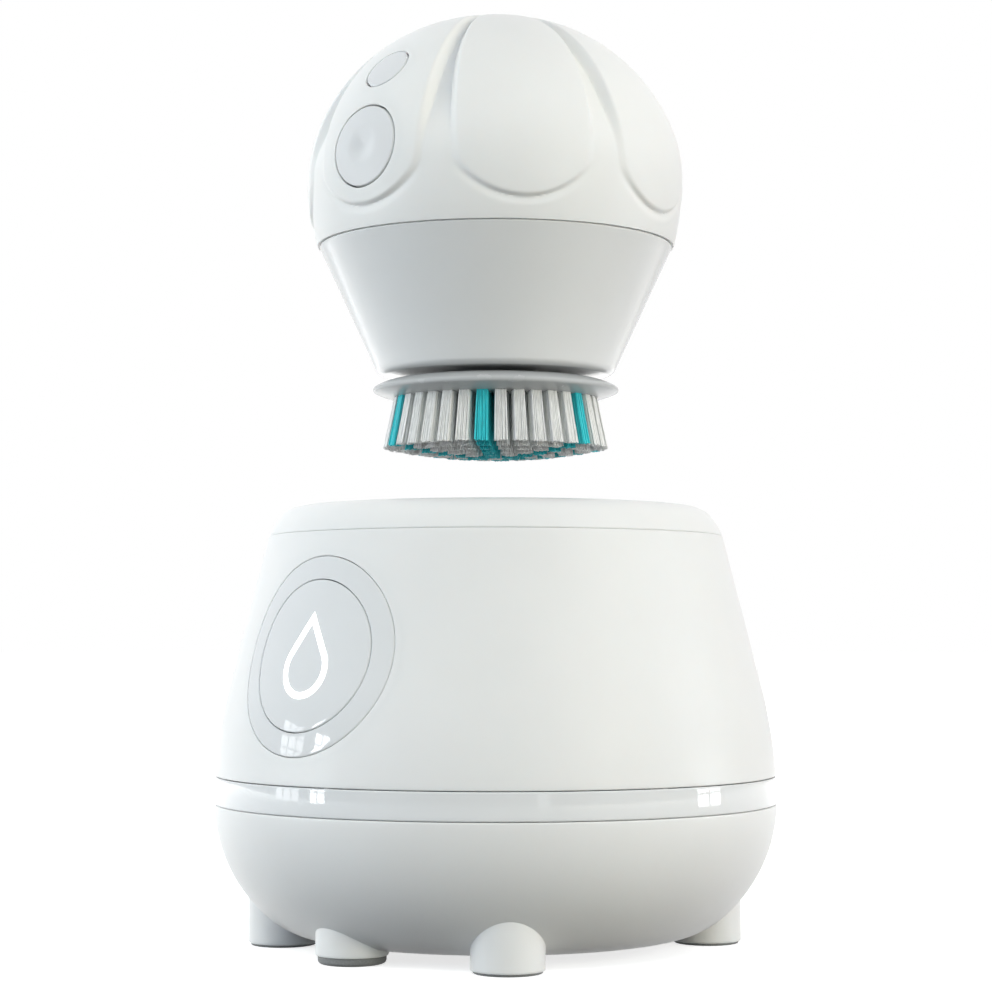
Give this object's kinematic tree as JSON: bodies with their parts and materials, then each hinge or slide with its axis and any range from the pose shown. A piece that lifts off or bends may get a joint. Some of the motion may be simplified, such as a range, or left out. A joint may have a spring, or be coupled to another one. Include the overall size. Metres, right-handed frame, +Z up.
{
  "type": "facial cleansing brush",
  "caption": "Ball-shaped facial cleansing brush with raised petals and a round bristle head, lifted off a rounded docking station with a glowing front panel.",
  "frame": {"origin": "centre of the docking station on the surface that its foot pads stand on", "axes": "+Z up through the brush and the station; -Y towards the buttons and the glowing panel; +X to the right as seen from the front"},
  "size_m": [0.1018, 0.1018, 0.1699],
  "materials": {
    "dock_white": "fine satin moulded plastic",
    "glossy_white": "polished moulded plastic",
    "handle_white": "satin moulded plastic with soft petals",
    "cone_white": "polished moulded plastic",
    "button_white": "satin moulded plastic",
    "liner_white": "satin moulded plastic",
    "plate_grey": "polished moulded plastic",
    "bristle_white": "fine nylon filaments in tufts",
    "bristle_teal": "fine nylon filaments in tufts",
    "foot_rubber": "soft matte rubber",
    "seal_rubber": "soft matte rubber",
    "inner_plastic": "plain moulded plastic",
    "dark_plastic": "plain moulded plastic",
    "circuit_board": "lacquered board",
    "battery_wrap": "shrink wrap",
    "copper": "lacquered wire",
    "steel": "bright turned steel",
    "brass": "turned brass",
    "lamp_glass": "clear glass",
    "lamp": "cast resin",
    "glow": "translucent light guide, lit"
  },
  "bodies": {
    "dock": {"dock_rim": "dock_white", "dock_shell": "dock_white", "trim_band": "glossy_white", "dock_bowl": "dock_white", "base_screws": "steel", "lens_ring": "glossy_white", "panel_lens": "glossy_white", "glow_drop": "glow", "light_box": "inner_plastic", "light_board": "circuit_board", "panel_lights": "lamp", "well_liner": "liner_white", "lamp_windows": "lamp_glass", "ultraviolet_lamps": "circuit_board", "floor_grille": "liner_white", "dock_coil": "copper", "fan_housing": "dark_plastic", "ballast_ring": "steel", "dock_board": "circuit_board", "power_inlet": "dark_plastic", "inlet_pin": "brass", "foot_front": "dock_white", "foot_pad_front": "foot_rubber", "foot_front_left": "dock_white", "foot_pad_front_left": "foot_rubber", "foot_front_right": "dock_white", "foot_pad_front_right": "foot_rubber", "foot_rear_left": "dock_white", "foot_pad_rear_left": "foot_rubber", "foot_rear_right": "dock_white", "foot_pad_rear_right": "foot_rubber"},
    "fan_rotor": {"fan_rotor": "dark_plastic"},
    "handle": {"handle_dome": "handle_white", "handle_cone": "cone_white", "handle_screws": "steel", "seam_seal": "seal_rubber", "chassis": "inner_plastic", "battery": "battery_wrap", "motor_can": "steel", "motor_stator": "copper", "upper_bearing": "brass", "handle_coil": "copper", "main_board": "circuit_board", "lower_bearing": "brass", "spindle_seal": "seal_rubber", "button_bracket": "inner_plastic", "power_switch": "dark_plastic", "mode_switch": "dark_plastic"},
    "drive_spindle": {"spindle": "steel", "rotor_magnet": "steel"},
    "brush_head": {"brush_plate": "plate_grey", "drive_socket": "steel", "bristles_white": "bristle_white", "bristles_teal": "bristle_teal"},
    "power_button": {"power_button": "button_white"},
    "mode_button": {"mode_button": "button_white"}
  },
  "joints": [
    {"name": "dock_lift", "type": "slide", "parent": "dock", "child": "handle", "axis": [0, 0, 1], "range_m": [-0.047, 0]},
    {"name": "fan_spin", "type": "hinge", "parent": "dock", "child": "fan_rotor", "pos_m": [0, 0, 0.028], "axis": [0, 0, 1], "continuous": true},
    {"name": "spindle_swing", "type": "hinge", "parent": "handle", "child": "drive_spindle", "pos_m": [0, 0, 0.118], "axis": [0, 0, 1], "range_deg": [-9, 9]},
    {"name": "head_pull", "type": "slide", "parent": "drive_spindle", "child": "brush_head", "axis": [0, 0, -1], "range_m": [0, 0.012]},
    {"name": "power_press", "type": "slide", "parent": "handle", "child": "power_button", "axis": [0, 0.9936, -0.1132], "range_m": [0, 0.0007], "stiffness_N_per_m": 600, "springref_m": -0.001},
    {"name": "mode_press", "type": "slide", "parent": "handle", "child": "mode_button", "axis": [0, 0.7986, -0.6018], "range_m": [0, 0.0007], "stiffness_N_per_m": 600, "springref_m": -0.001}
  ]
}
